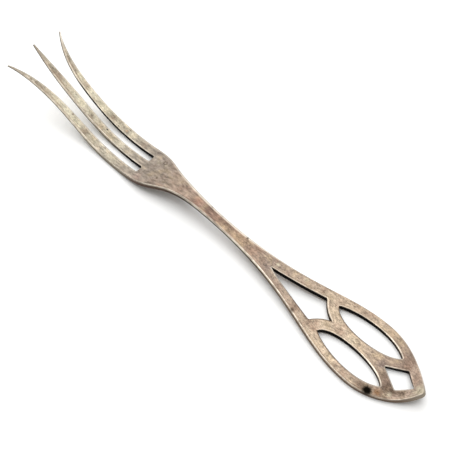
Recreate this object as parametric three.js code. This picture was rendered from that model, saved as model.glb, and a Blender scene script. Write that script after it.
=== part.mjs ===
// A lemon fork made from one piece of silver sheet, with a pierced handle and three spread tines.
// Lengths are in millimetres and angles in degrees. X runs from the handle's point to the tines, and Z is up.
// It is made in the order of the real one: the flat blank is drawn and pierced, its edges are eased,
// its tines are thinned, and it is bent until it stands on its handle and its heel.
// A station is a distance along the flat blank from the handle's point.
// An offset is a distance from the blank's centre line.

import * as THREE from 'three';
import { mergeVertices } from 'three/addons/utils/BufferGeometryUtils.js';

const { clamp, degToRad, lerp, smoothstep } = THREE.MathUtils;

// Sheet
const sheetThickness = 1.4;
const tineTipThickness = 0.8;
const edgeEase = 0.15;

// Handle
const handleLength = 63.8;
const handleHalfWidth = 9.4;
const widestFromPoint = 16.5;
const pointRadius = 0.5;
const pointHalfAngle = 58;
const pointPull = 2.2;
const browPullShare = 0.55;
const neckHalfWidth = 1.45;
const flankPullShares = [0.29, 0.55];

// Shoulder
const shoulderFromNeck = 26.3;
const shoulderHalfWidth = 5.88;
const shoulderPullShares = [0.75, 0.37];

// Tines
const rootFromShoulder = -0.6;
const tineLength = 42.3;
const waistFromRoot = 21.3;
const waistHalfWidth = 5.35;
const cheekPullShares = [0.59, 0.16];
const tineSpread = 8.7;
const tineTipRadius = 0.2;
const sweepAngle = 29;
const sweepPulls = [2.1, 8.5];
const slotWidth = 2.2;
const slotCornerRadius = 0.45;
const outerTineStraight = 17.5;
const outerTineInset = 3.15;
const innerSweepAngle = 38;
const innerSweepPulls = [10.5, 8.2];
const middleTineWidth = 2.4;
const middleTineStraight = 15.2;
const middleTineAtStraightEnd = 2.16;
const middleTineOverhang = 0.75;
const middleTaperAngle = 7.5;
const middleTaperPulls = [4.6, 11.5];

// Diamond opening
const diamondFromPoint = 2.9;
const diamondFrontLength = 3.65;
const diamondBackLength = 5.15;
const diamondHalfWidth = 3.1;

// Pair of pointed oval openings
const ovalFromPoint = 9.5;
const ovalLength = 19.2;
const ovalFrontOffset = 4.66;
const ovalBackOffset = 4.46;
const railWidth = 2.45;
const centreBarHalfWidth = 1.45;
const ovalOuterLeanShares = [0.235, 0.23];
const ovalInnerLeanShares = [0.16, 0.09];
const ovalOuterTilt = 0.63;
const ovalInnerTilt = 0.19;

// Kite opening
const kiteFootFromOvals = -1.3;
const kiteCornerFromFoot = 4.5;
const kiteHalfWidth = 3.8;
const kiteLength = 18.9;
const kiteBandBow = 0.9;
const kiteEndRadius = 0.25;

// Bends of the side line, from the handle's point to the tines
const curlLength = 8.75;
const curlSlope = -41.4;
const restLength = 5;
const riseLength = 20;
const stemSlope = 4.85;
const dropFromNeck = 6;
const dropLength = 14.7;
const heelFromShoulder = -9.4;
const heelLength = 33.5;
const tineSlope = 23;
const liftFromRoot = 28;
const liftLength = 19.2;
const tipSlope = 30.1;
const steepestDrop = -60;

// Fineness of curves and folds
const longCurveSteps = 14;
const shortCurveSteps = 8;
const arcSteps = 4;
const foldAngle = 2.4;
const leastFoldGap = 0.35;
const stepsPerFold = 8;
const settlingPasses = 40;
const sameStation = 0.02;
const sameHeight = 0.001;
const leastFacet = 0.001;

const neckStation = handleLength;
const shoulderStation = neckStation + shoulderFromNeck;
const rootStation = shoulderStation + rootFromShoulder;
const tineEndStation = rootStation + tineLength;
const blankLength = tineEndStation + middleTineOverhang;

const point = (station, offset) => new THREE.Vector2(station, offset);

// The point that lies a distance from another in a direction
function beside(start, distance, angle) {
  const turn = degToRad(angle);
  return point(start.x + distance * Math.cos(turn), start.y + distance * Math.sin(turn));
}

// A curve that leaves and arrives along the blank, with its pulls as shares of its length
function levelCurve(start, end, [startShare, endShare]) {
  const run = end.x - start.x;
  const leaving = point(start.x + run * startShare, start.y);
  const arriving = point(end.x - run * endShare, end.y);
  return new THREE.CubicBezierCurve(start, leaving, arriving, end);
}

// A round end or corner between two angles
function arc(centre, radius, startAngle, endAngle) {
  const clockwise = endAngle < startAngle;
  const start = degToRad(startAngle);
  const end = degToRad(endAngle);
  return new THREE.EllipseCurve(centre.x, centre.y, radius, radius, start, end, clockwise);
}

// Points along curves that follow each other, with each shared end given once
function traced(...runs) {
  const points = [];
  for (const [curve, steps] of runs) {
    points.push(...curve.getPoints(steps).slice(0, -1));
  }
  const [lastCurve] = runs.at(-1);
  points.push(lastCurve.getPoint(1));
  return points;
}

const acrossCentreLine = (points) => points.map(({ x, y }) => point(x, -y)).reverse();

// Closes a half whose two ends lie on the centre line with its mirror image
const withItsMirror = (half) => [...half, ...acrossCentreLine(half.slice(1, -1))];

// Half of the blank's outline, from the handle's point round to the tip of the middle tine
function halfOutline() {
  const pointCentre = point(pointRadius, 0);
  const pointArc = arc(pointCentre, pointRadius, 180, 90 + pointHalfAngle);
  const browStart = pointArc.getPoint(1);
  const widest = point(widestFromPoint, handleHalfWidth);
  const browEnd = point(lerp(widest.x, browStart.x, browPullShare), widest.y);
  const browLeaving = beside(browStart, pointPull, pointHalfAngle);
  const brow = new THREE.CubicBezierCurve(browStart, browLeaving, browEnd, widest);

  const neck = point(neckStation, neckHalfWidth);
  const shoulder = point(shoulderStation, shoulderHalfWidth);
  const waist = point(rootStation + waistFromRoot, waistHalfWidth);
  const flank = levelCurve(widest, neck, flankPullShares);
  const swell = levelCurve(neck, shoulder, shoulderPullShares);
  const cheek = levelCurve(shoulder, waist, cheekPullShares);

  const outerTip = point(tineEndStation - tineTipRadius, tineSpread);
  const outerTipArc = arc(outerTip, tineTipRadius, sweepAngle + 90, innerSweepAngle - 90);
  const sweepEnd = outerTipArc.getPoint(0);
  const sweepLeaving = beside(waist, sweepPulls[0], 0);
  const sweepArriving = beside(sweepEnd, -sweepPulls[1], sweepAngle);
  const sweep = new THREE.CubicBezierCurve(waist, sweepLeaving, sweepArriving, sweepEnd);

  const innerStart = outerTipArc.getPoint(1);
  const innerEnd = point(rootStation + outerTineStraight, outerTineInset);
  const innerLeaving = beside(innerStart, -innerSweepPulls[1], innerSweepAngle);
  const innerArriving = beside(innerEnd, innerSweepPulls[0], 0);
  const innerSweep = new THREE.CubicBezierCurve(innerStart, innerLeaving, innerArriving, innerEnd);

  const slotInside = middleTineWidth / 2;
  const cornerStation = rootStation + slotCornerRadius;
  const outerCorner = point(cornerStation, slotInside + slotWidth - slotCornerRadius);
  const innerCorner = point(cornerStation, slotInside + slotCornerRadius);
  const outerCornerArc = arc(outerCorner, slotCornerRadius, 90, 180);
  const innerCornerArc = arc(innerCorner, slotCornerRadius, 180, 270);

  const middleEnd = point(rootStation + middleTineStraight, middleTineAtStraightEnd / 2);
  const middleTip = point(blankLength - tineTipRadius, 0);
  const middleTipArc = arc(middleTip, tineTipRadius, 90 - middleTaperAngle, 0);
  const taperEnd = middleTipArc.getPoint(0);
  const taperLeaving = beside(middleEnd, middleTaperPulls[0], 0);
  const taperArriving = beside(taperEnd, -middleTaperPulls[1], -middleTaperAngle);
  const taper = new THREE.CubicBezierCurve(middleEnd, taperLeaving, taperArriving, taperEnd);

  return traced(
    [pointArc, arcSteps],
    [brow, longCurveSteps],
    [flank, longCurveSteps],
    [swell, longCurveSteps],
    [cheek, shortCurveSteps],
    [sweep, shortCurveSteps],
    [outerTipArc, arcSteps],
    [innerSweep, shortCurveSteps],
    [new THREE.LineCurve(innerEnd, outerCornerArc.getPoint(0)), 1],
    [outerCornerArc, arcSteps],
    [new THREE.LineCurve(outerCornerArc.getPoint(1), innerCornerArc.getPoint(0)), 1],
    [innerCornerArc, arcSteps],
    [new THREE.LineCurve(innerCornerArc.getPoint(1), middleEnd), 1],
    [taper, shortCurveSteps],
    [middleTipArc, arcSteps],
  );
}

function diamondOpening() {
  const widestStation = diamondFromPoint + diamondFrontLength;
  return withItsMirror([
    point(diamondFromPoint, 0),
    point(widestStation, diamondHalfWidth),
    point(widestStation + diamondBackLength, 0),
  ]);
}

// A side of an oval that passes through the given offset at its middle
function ovalSide(start, end, middleOffset, tilt, [startShare, endShare]) {
  const run = end.x - start.x;
  const pullOffset = (middleOffset * 8 - start.y - end.y) / 6;
  const leaving = point(start.x + run * startShare, pullOffset + tilt);
  const arriving = point(end.x - run * endShare, pullOffset - tilt);
  return new THREE.CubicBezierCurve(start, leaving, arriving, end);
}

function ovalOpening() {
  const front = point(ovalFromPoint, ovalFrontOffset);
  const back = point(ovalFromPoint + ovalLength, ovalBackOffset);
  const railOffset = handleHalfWidth - railWidth;
  const outerSide = ovalSide(front, back, railOffset, ovalOuterTilt, ovalOuterLeanShares);
  const innerSide = ovalSide(front, back, centreBarHalfWidth, ovalInnerTilt, ovalInnerLeanShares);
  const outerPoints = traced([outerSide, longCurveSteps]);
  const innerPoints = traced([innerSide, longCurveSteps]);
  return [...outerPoints, ...innerPoints.slice(1, -1).reverse()];
}

function kiteOpening() {
  const foot = point(ovalFromPoint + ovalLength + kiteFootFromOvals, 0);
  const corner = point(foot.x + kiteCornerFromFoot, kiteHalfWidth);
  const footSide = corner.clone().sub(foot);
  const inwards = point(footSide.y, -footSide.x).setLength(kiteBandBow);
  const bandPull = foot.clone().lerp(corner, 1 / 2).add(inwards);
  const band = new THREE.QuadraticBezierCurve(foot, bandPull, corner);
  const end = point(foot.x + kiteLength - kiteEndRadius, 0);
  const toEnd = end.clone().sub(corner);
  const sideSlope = Math.atan2(toEnd.y, toEnd.x) + Math.asin(kiteEndRadius / toEnd.length());
  const endArc = arc(end, kiteEndRadius, 90 + THREE.MathUtils.radToDeg(sideSlope), 0);
  const side = new THREE.LineCurve(corner, endArc.getPoint(0));
  return withItsMirror(traced([band, shortCurveSteps], [side, 1], [endArc, arcSteps]));
}

// The pierced flat blank with eased edges, as corners and triangles about its middle plane
function flatBlank() {
  const shape = new THREE.Shape(withItsMirror(halfOutline()).reverse());
  const oval = ovalOpening();
  const openings = [diamondOpening(), oval, acrossCentreLine(oval), kiteOpening()];
  shape.holes = openings.map((points) => new THREE.Path(points));
  const plain = new THREE.ExtrudeGeometry(shape, {
    depth: sheetThickness - edgeEase * 2,
    bevelThickness: edgeEase,
    bevelSize: edgeEase,
    bevelOffset: -edgeEase,
    bevelSegments: 1,
    steps: 1,
  });
  plain.translate(0, 0, edgeEase - sheetThickness / 2);
  plain.deleteAttribute('normal');
  plain.deleteAttribute('uv');
  const merged = mergeVertices(plain);
  const place = merged.getAttribute('position');
  const corners = [];
  for (let i = 0; i < place.count; i += 1) {
    corners.push(new THREE.Vector3().fromBufferAttribute(place, i));
  }
  const indices = [...merged.index.array];
  const triangles = [];
  while (indices.length) {
    triangles.push(indices.splice(0, 3));
  }
  return { corners, triangles };
}

// Turns the edge between two triangles of a face wherever that makes it span fewer stations
function shortened({ corners, triangles }) {
  const owners = new Map();
  const named = (from, to) => `${from} ${to}`;
  triangles.forEach((triangle, owner) => {
    triangle.forEach((corner, i) => owners.set(named(corner, triangle[(i + 1) % 3]), owner));
  });
  const span = (from, to) => Math.abs(corners[from].x - corners[to].x);
  const facesOut = (...triangle) => {
    const [first, second, third] = triangle.map((corner) => corners[corner]);
    const turn = second.clone().sub(first).cross(third.clone().sub(first));
    return turn.z * Math.sign(first.z) > leastFacet;
  };
  const isFlat = (first, ...others) =>
    others.every((corner) => Math.abs(corners[corner].z - corners[first].z) < sameHeight);
  let turning = true;
  while (turning) {
    turning = false;
    triangles.forEach((triangle, owner) => {
      for (let i = 0; i < 3; i += 1) {
        const [from, to, apex] = [0, 1, 2].map((step) => triangle[(i + step) % 3]);
        const neighbour = owners.get(named(to, from));
        const far = triangles[neighbour].find((corner) => corner !== from && corner !== to);
        const saves = span(apex, far) < span(from, to) - sameStation;
        if (saves && isFlat(from, to, apex, far)) {
          if (facesOut(from, far, apex) && facesOut(far, to, apex)) {
            triangles[owner] = [from, far, apex];
            triangles[neighbour] = [far, to, apex];
            owners.delete(named(from, to));
            owners.delete(named(to, from));
            owners.set(named(from, far), owner);
            owners.set(named(far, apex), owner);
            owners.set(named(to, apex), neighbour);
            owners.set(named(apex, far), neighbour);
            turning = true;
            return;
          }
        }
      }
    });
  }
  return { corners, triangles };
}

// Splits each triangle that crosses a station, with one new corner on each crossing edge
function splitAt(station, { corners, triangles }) {
  const crossings = new Map();
  const sideOf = (corner) => {
    const reach = corners[corner].x - station;
    return Math.abs(reach) < sameStation ? 0 : Math.sign(reach);
  };
  const crossingOn = (first, second) => {
    const ends = [Math.min(first, second), Math.max(first, second)];
    const edge = ends.join();
    if (!crossings.has(edge)) {
      const [low, high] = ends.map((corner) => corners[corner]);
      const share = (station - low.x) / (high.x - low.x);
      crossings.set(edge, corners.push(low.clone().lerp(high, share)) - 1);
    }
    return crossings.get(edge);
  };
  const split = triangles.flatMap((triangle) => {
    const sides = triangle.map(sideOf);
    if (!sides.includes(1) || !sides.includes(-1)) {
      return [triangle];
    }
    const parts = [[], []];
    triangle.forEach((corner, i) => {
      const next = (i + 1) % 3;
      if (sides[i] <= 0) {
        parts[0].push(corner);
      }
      if (sides[i] >= 0) {
        parts[1].push(corner);
      }
      if (sides[i] * sides[next] < 0) {
        const crossing = crossingOn(corner, triangle[next]);
        parts.forEach((part) => part.push(crossing));
      }
    });
    return parts.flatMap(([first, ...rest]) =>
      rest.slice(1).map((corner, i) => [first, rest[i], corner]),
    );
  });
  return { corners, triangles: split };
}

// Where each bend starts, how long it is and the slope that it leaves behind
const bendsWith = (dropSlope) => [
  { start: 0, length: curlLength, slope: 0 },
  { start: curlLength + restLength, length: riseLength, slope: stemSlope },
  { start: neckStation + dropFromNeck, length: dropLength, slope: dropSlope },
  { start: shoulderStation + heelFromShoulder, length: heelLength, slope: tineSlope },
  { start: rootStation + liftFromRoot, length: liftLength, slope: tipSlope },
];

function slopeAt(station, bends) {
  let slope = curlSlope;
  let before = curlSlope;
  for (const bend of bends) {
    slope += (bend.slope - before) * smoothstep(station, bend.start, bend.start + bend.length);
    before = bend.slope;
  }
  return degToRad(slope);
}

// Stations of the folds that stand for the bends
function foldStations(bends) {
  const stations = [rootStation, blankLength];
  let before = curlSlope;
  for (const bend of bends) {
    const folds = Math.ceil(Math.abs(bend.slope - before) / foldAngle);
    for (let i = 0; i <= folds; i += 1) {
      stations.push(bend.start + (bend.length * i) / folds);
    }
    before = bend.slope;
  }
  stations.sort((one, other) => one - other);
  const kept = [stations[0]];
  for (const station of stations) {
    if (station - kept.at(-1) > leastFoldGap && station <= blankLength) {
      kept.push(station);
    }
  }
  return kept;
}

function thicknessAt(station) {
  const share = clamp((station - rootStation) / (blankLength - rootStation), 0, 1);
  return lerp(sheetThickness, tineTipThickness, share);
}

// The sheet's middle plane seen from the side, with its slope and thickness at each fold
function sideLine(bends) {
  const folds = [];
  let x = 0;
  let z = 0;
  let reached = 0;
  for (const station of foldStations(bends)) {
    const step = (station - reached) / stepsPerFold;
    for (let i = 0; i < stepsPerFold; i += 1) {
      const slope = slopeAt(reached + step / 2, bends);
      x += step * Math.cos(slope);
      z += step * Math.sin(slope);
      reached += step;
    }
    const thickness = thicknessAt(station);
    folds.push({ station, x, z, slope: slopeAt(station, bends), thickness });
  }
  return folds;
}

const underside = (fold) => fold.z - (fold.thickness / 2) * Math.cos(fold.slope);

function lowest(folds, from, to) {
  const spanned = folds.filter(({ station }) => station >= from && station <= to);
  return Math.min(...spanned.map(underside));
}

const restHeight = (folds) => lowest(folds, 0, neckStation);

// The side line whose drop brings the heel down to the level of the handle's underside
function settledSideLine() {
  let shallow = 0;
  let steep = steepestDrop;
  for (let pass = 0; pass < settlingPasses; pass += 1) {
    const middle = (shallow + steep) / 2;
    const folds = sideLine(bendsWith(middle));
    if (lowest(folds, shoulderStation, blankLength) > restHeight(folds)) {
      shallow = middle;
    } else {
      steep = middle;
    }
  }
  return sideLine(bendsWith(shallow));
}

// Where a corner of the flat blank lies after bending
function bentPlace({ x: station, y, z: height }, folds) {
  const next = Math.max(folds.findIndex((fold) => fold.station >= station - sameStation), 1);
  const [before, after] = [folds[next - 1], folds[next]];
  const share = (station - before.station) / (after.station - before.station);
  const [from, to] = [before, after].map((fold) => {
    const rise = (height * fold.thickness) / sheetThickness;
    const across = fold.x - rise * Math.sin(fold.slope);
    return new THREE.Vector3(across, y, fold.z + rise * Math.cos(fold.slope));
  });
  return from.lerp(to, share);
}

function bentFork() {
  const folds = settledSideLine();
  let blank = shortened(flatBlank());
  for (const fold of folds) {
    blank = splitAt(fold.station, blank);
  }
  const places = blank.corners.map((corner) => bentPlace(corner, folds));
  const geometry = new THREE.BufferGeometry().setFromPoints(places);
  geometry.setIndex(blank.triangles.flat());
  geometry.computeBoundingBox();
  const { min, max } = geometry.boundingBox;
  geometry.translate(-(min.x + max.x) / 2, 0, -restHeight(folds));
  geometry.computeVertexNormals();
  return geometry;
}

const silver = new THREE.MeshStandardMaterial({
  color: 0xb3aba0,
  roughness: 0.32,
  metalness: 1,
});
silver.name = 'silver';

const fork = new THREE.Mesh(bentFork(), silver);
fork.name = 'fork';

const group = new THREE.Group();
group.name = 'lemon_fork';
group.add(fork);

export default group;
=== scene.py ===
"""An old silver lemon fork, pierced, bent and tarnished, lying on a pale table."""
import math

import bpy
import numpy as np
from mathutils import Euler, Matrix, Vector
from mathutils.geometry import delaunay_2d_cdt


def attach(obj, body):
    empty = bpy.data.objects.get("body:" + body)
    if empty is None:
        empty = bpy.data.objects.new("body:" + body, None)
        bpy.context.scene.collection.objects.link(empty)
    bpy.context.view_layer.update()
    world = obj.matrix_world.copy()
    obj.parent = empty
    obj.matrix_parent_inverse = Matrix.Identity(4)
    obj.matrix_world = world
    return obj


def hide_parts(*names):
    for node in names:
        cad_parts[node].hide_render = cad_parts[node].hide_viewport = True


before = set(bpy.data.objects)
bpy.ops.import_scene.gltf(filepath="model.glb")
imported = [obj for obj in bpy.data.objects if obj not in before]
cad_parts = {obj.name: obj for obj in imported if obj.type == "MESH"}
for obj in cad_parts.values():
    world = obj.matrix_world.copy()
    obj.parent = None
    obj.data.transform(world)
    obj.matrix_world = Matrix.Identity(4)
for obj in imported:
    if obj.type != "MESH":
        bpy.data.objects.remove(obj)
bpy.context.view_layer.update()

# Sizes are in millimetres on the flat blank until the fork is bent.
# A station runs from the handle's point to the tines, and an offset across, with left positive.
MM = 0.001

# The sheet
HANDLE_THICKNESS = 1.3
SHOULDER_THICKNESS = 1.38
TINE_TIP_THICKNESS = 0.8
EDGE_EASE = 0.2
SAWN_EDGE_EASE = 0.07
STEM_EXTRA_EASE = 0.24
STEM_EASE_SPREAD = 14.0

# The outline
WIDEST = (16.5, 9.37)
NECK = (63.886, 1.56)
SHOULDER = (90.16, 5.877)
WAIST = (110.885, 5.21)
OUTER_TIP = (132.0, 8.36)
MIDDLE_TIP = (132.9, 0.0)
SLOT_ROOT = 89.15
OUTER_SLOT_SIDE = 3.34
MIDDLE_SLOT_SIDE = 1.24
OUTER_TINE_STRAIGHT_END = (106.99, 3.026)
MIDDLE_TINE_STRAIGHT_END = (104.694, 1.081)

# Pulls of the outline's curves at their two ends
POINT_ANGLE = 58.2
BROW_PULLS = (2.571, 9.022)
FLANK_PULLS = (13.707, 26.076)
SWELL_PULLS = (19.677, 9.824)
CHEEK_PULLS = (12.276, 3.375)
SWEEP_PULLS = (2.081, 8.609)
SWEEP_ANGLE = 27.2
INNER_SWEEP_PULLS = (10.772, 8.326)
INNER_SWEEP_ANGLE = 36.6
MIDDLE_TAPER_PULLS = (4.648, 11.755)
MIDDLE_TAPER_ANGLE = 7.5

# How far the file cut back the corners
POINT_CUT = 0.9
OUTER_TIP_CUT = 1.2
MIDDLE_TIP_CUT = 1.2
SLOT_CORNER_CUT = 0.55

# The hand-bent tines and point lean a little to one side
LEFT_TINE_LEAN = 1.05
MIDDLE_TINE_LEAN = -0.03
RIGHT_TINE_LEAN = -0.22
LEAN_REACH = 41.5
POINT_LEAN = 0.19
POINT_LEAN_REACH = 8.0
BETWEEN_TINES = 2.3

# The diamond opening
DIAMOND_TIP_CORNER = 2.912
DIAMOND_SIDE_CORNER = (6.534, 3.131)
DIAMOND_STEM_CORNER = 11.7
DIAMOND_CUT = 0.35

# The two pointed oval openings
OVAL_TIP_END = (9.487, 4.661)
OVAL_STEM_END = (28.7, 4.482)
OVAL_OUTER_PULLS = ((13.966, 8.38), (24.167, 7.124))
OVAL_INNER_PULLS = ((12.492, 0.591), (26.852, 0.219))
OVAL_CUT = 0.2

# The kite opening
KITE_FOOT = 27.409
KITE_SIDE_CORNER = (31.903, 3.815)
KITE_APEX = (46.9, 0.15)
KITE_BAND_BOW = 0.448
KITE_LEFT_BOW = 0.06
KITE_RIGHT_BOW = 0.2
KITE_APEX_CUT = 0.3
KITE_NICK = (44.7, 0.98)
KITE_NICK_CUT = 0.3
KITE_SIDE_CUT = 0.35
KITE_FOOT_CUT = 0.3

# How far the saw leaned, from the top face to the bottom face
SAW_LEAN = (
    (0.0, 0.0, -0.06),
    (7.0, -0.08, 0.0),
    (9.5, -0.08, -0.08),
    (14.0, -0.08, -0.08),
    (17.0, -0.1, -0.02),
    (22.0, -0.1, 0.06),
    (28.0, -0.18, 0.12),
    (46.0, -0.1, 0.1),
    (86.0, 0.0, -0.1),
    (100.0, 0.0, -0.14),
    (112.0, 0.0, -0.1),
    (120.0, 0.0, 0.0),
)

# The mesh
LOOP_STEP = 0.34
CORNER_STEPS = 8
EASE_STEPS = 5
GRID_STEP = 0.55
CURVE_POINTS = 80
SIDE_LINE_POINTS = 1400
ROOM_SHARE = 0.6
GRID_ROW_SHARE = 0.87
GRID_EDGE_SHARE = 0.55
GRID_BATCHES = 12
MERGE_DISTANCE = 1e-7
STRAIGHT_AHEAD = 1e-6

# Where the dark walls of the slots fade out
SLOT_WALL_REACH = (0.1, 0.6)
SLOT_ROOT_FADE = 0.2
LEFT_SLOT_FADE = (94.0, 103.0)
RIGHT_SLOT_FADE = (112.0, 124.0)

# The bends: where each starts, how long it is and how many degrees it turns upwards
POINT_SLOPE = -41.41
BENDS = {
    "Curl": (0.0, 8.753, 41.37),
    "Rise": (8.858, 31.773, 5.27),
    "Stem": (41.716, 15.483, -1.03),
    "Drop": (69.882, 14.674, -22.8),
    "Heel": (80.716, 33.476, 41.54),
    "Tine lift": (117.46, 19.162, 7.1),
}
HANDLE_POINT_X = -64.2
UNEVENNESS = 0.05
UNEVENNESS_SCALE = 0.12

# Colours of the metal along the fork, by station
FINISH_ALONG = (
    (0.0, (0.50, 0.41, 0.33)),
    (4.0, (0.335, 0.26, 0.205)),
    (9.0, (0.22, 0.165, 0.13)),
    (14.0, (0.27, 0.21, 0.16)),
    (22.0, (0.43, 0.345, 0.26)),
    (32.0, (0.355, 0.285, 0.215)),
    (38.0, (0.295, 0.23, 0.178)),
    (46.0, (0.24, 0.19, 0.152)),
    (58.0, (0.226, 0.16, 0.118)),
    (67.0, (0.178, 0.118, 0.09)),
    (79.0, (0.315, 0.25, 0.20)),
    (87.0, (0.305, 0.258, 0.216)),
    (98.0, (0.30, 0.27, 0.215)),
    (105.0, (0.33, 0.295, 0.225)),
    (114.0, (0.53, 0.49, 0.38)),
    (122.0, (0.285, 0.25, 0.195)),
    (126.0, (0.24, 0.215, 0.165)),
    (133.0, (0.20, 0.18, 0.145)),
)

# Colours of the tarnish, and of the painted highlight, painted reflection and painted shade on the edges
# and walls
BLACK = (0.004, 0.003, 0.002)
DARK_BROWN = (0.09, 0.06, 0.042)
BROWN = (0.19, 0.135, 0.095)
VIOLET_GREY = (0.17, 0.13, 0.115)
PINK_BROWN = (0.25, 0.165, 0.12)
ORANGE_BROWN = (0.27, 0.14, 0.07)
GOLD = (0.40, 0.31, 0.20)
CREAM = (0.52, 0.47, 0.345)
# Painted highlight: the light line along the left rounded edges and the glint beside the openings
HIGHLIGHT_SILVER = (0.90, 0.82, 0.69)
# Painted reflection of the white ground on the right-facing rounded edges
REFLECTION_SILVER = (0.60, 0.54, 0.46)
# Tarnish of the sawn walls, darkened to near black as painted shade inside the openings
SAWN_WALL_TARNISH_AND_SHADE = (0.003, 0.002, 0.0015)

# Marks on the top face: station, offset, radius, softness, colour and strength
MARKS = (
    (0.8, 0.0, 2.8, 1.0, CREAM, 0.8),
    (4.6, 2.6, 1.6, 1.0, DARK_BROWN, 0.75),
    (5.5, 3.2, 1.5, 1.0, DARK_BROWN, 0.7),
    (6.7, 3.8, 1.6, 1.0, DARK_BROWN, 0.9),
    (8.2, 4.0, 2.1, 1.0, DARK_BROWN, 0.85),
    (10.5, 2.2, 1.8, 1.0, DARK_BROWN, 0.6),
    (12.3, 7.8, 2.3, 1.0, DARK_BROWN, 0.7),
    (12.4, 0.2, 2.0, 1.0, VIOLET_GREY, 0.7),
    (7.4, -3.6, 2.0, 1.0, PINK_BROWN, 0.5),
    (6.8, 4.9, 1.0, 1.0, CREAM, 0.5),
    (2.2, 2.4, 0.9, 1.0, CREAM, 0.5),
    (9.2, 6.5, 1.5, 1.0, (0.20, 0.11, 0.055), 0.9),
    (9.9, 5.5, 0.7, 1.0, DARK_BROWN, 0.5),
    (13.6, 8.2, 1.7, 1.0, BROWN, 0.6),
    (21.0, 0.5, 2.0, 1.0, CREAM, 0.3),
    (15.0, -8.0, 2.6, 1.0, GOLD, 0.5),
    (24.5, -7.2, 2.2, 1.0, PINK_BROWN, 0.3),
    (22.0, 8.0, 2.4, 1.0, GOLD, 0.2),
    (29.6, 5.0, 1.0, 1.0, BROWN, 0.5),
    (29.2, 6.8, 0.4, 0.8, DARK_BROWN, 0.7),
    (33.6, -4.4, 0.6, 0.9, BROWN, 0.8),
    (46.1, -1.5, 0.65, 1.0, CREAM, 0.75),
    (44.95, 1.15, 0.28, 0.7, CREAM, 0.9),
    (44.4, 1.4, 0.3, 0.8, DARK_BROWN, 0.6),
    (47.5, 0.8, 2.4, 1.0, VIOLET_GREY, 0.5),
    (57.0, 0.4, 3.0, 1.0, (0.27, 0.19, 0.12), 0.5),
    (61.2, 0.7, 1.1, 1.0, BROWN, 0.6),
    (38.6, -3.8, 1.0, 1.0, CREAM, 0.5),
    (86.6, -2.4, 1.0, 1.0, CREAM, 0.45),
    (84.6, -2.8, 0.7, 1.0, CREAM, 0.3),
    (55.3, -0.2, 0.22, 0.6, DARK_BROWN, 0.7),
    (60.2, 0.6, 0.22, 0.6, DARK_BROWN, 0.7),
    (58.9, -0.5, 0.18, 0.6, DARK_BROWN, 0.6),
    (66.5, 0.0, 2.2, 1.0, (0.16, 0.105, 0.09), 0.35),
    (71.0, 0.1, 1.9, 1.0, (0.25, 0.135, 0.10), 0.65),
    (79.0, 0.4, 2.2, 1.0, BROWN, 0.4),
    (79.6, -2.0, 1.6, 1.0, BROWN, 0.4),
    (83.35, 1.85, 0.5, 0.9, DARK_BROWN, 0.9),
    (86.5, -4.1, 0.35, 0.9, DARK_BROWN, 0.5),
    (88.0, 4.6, 1.8, 1.0, (0.36, 0.26, 0.22), 0.5),
    (89.0, -4.8, 0.9, 1.0, VIOLET_GREY, 0.5),
    (98.5, -0.4, 1.6, 1.0, CREAM, 0.3),
    (102.0, 0.2, 2.0, 1.0, (0.22, 0.17, 0.10), 0.5),
    (105.5, 0.3, 1.8, 1.0, GOLD, 0.5),
    (103.75, -0.5, 0.34, 0.5, BLACK, 0.95),
    (109.2, 0.3, 1.2, 1.0, DARK_BROWN, 0.75),
    (113.6, 0.0, 1.9, 1.0, CREAM, 0.8),
    (122.4, -0.2, 2.4, 1.0, BROWN, 0.6),
    (97.0, 4.6, 2.6, 1.0, CREAM, 0.25),
    (100.2, 3.6, 0.45, 0.8, DARK_BROWN, 0.8),
    (107.0, 4.4, 1.7, 1.0, BROWN, 0.7),
    (110.2, 4.6, 2.2, 1.0, CREAM, 0.5),
    (112.3, 3.8, 0.6, 0.9, DARK_BROWN, 0.85),
    (118.0, 4.8, 2.2, 1.0, CREAM, 0.5),
    (119.0, -5.0, 2.2, 1.0, CREAM, 0.8),
    (94.0, -4.2, 2.2, 1.0, BROWN, 0.4),
    (98.2, -4.5, 1.7, 1.0, CREAM, 0.3),
    (100.2, -4.2, 0.6, 1.0, ORANGE_BROWN, 0.6),
    (105.4, -4.0, 1.2, 1.0, BROWN, 0.7),
    (109.2, -4.1, 2.8, 1.0, CREAM, 0.6),
    (116.5, -4.5, 1.4, 1.0, PINK_BROWN, 0.4),
    (121.0, -4.6, 0.5, 1.0, DARK_BROWN, 0.5),
    (128.5, 8.0, 3.2, 1.0, (0.15, 0.13, 0.10), 0.7),
    (130.5, -7.6, 4.5, 1.0, (0.66, 0.64, 0.58), 0.9),
)

# Stains that also cover the edge: laid over everything else
STAINS = (
    (11.3, 7.7, 1.7, 0.65, BLACK, 1.0),
    (36.2, 4.85, 0.85, 0.9, DARK_BROWN, 0.9),
    (55.85, -1.3, 0.4, 0.6, DARK_BROWN, 0.9),
    (64.0, -1.3, 0.4, 1.0, VIOLET_GREY, 0.6),
    (67.5, -1.3, 0.5, 1.0, VIOLET_GREY, 0.7),
    (42.4, 3.2, 0.4, 0.9, BROWN, 0.8),
)

# Pit in the shoulder: station, offset and radius
PITS = ((85.2, -3.3, 0.46),)

# How the tarnish, the brown edge line, the painted highlights and reflections and the walls change along
# the fork, by station
GRAININESS = ((0.0, 1.0), (72.0, 1.0), (79.0, 0.4), (91.0, 0.4), (98.0, 1.0), (133.0, 1.0))
LIVELINESS = (
    (0.0, 1.1), (50.0, 1.1), (60.0, 1.25), (80.0, 1.3),
    (88.0, 1.3), (97.0, 1.05), (133.0, 0.9),
)
BROWN_LINE_STRENGTH = ((0.0, 0.3), (22.0, 0.5), (48.0, 0.3), (56.0, 0.0), (100.0, 0.0), (108.0, 0.5), (133.0, 0.6))
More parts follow.
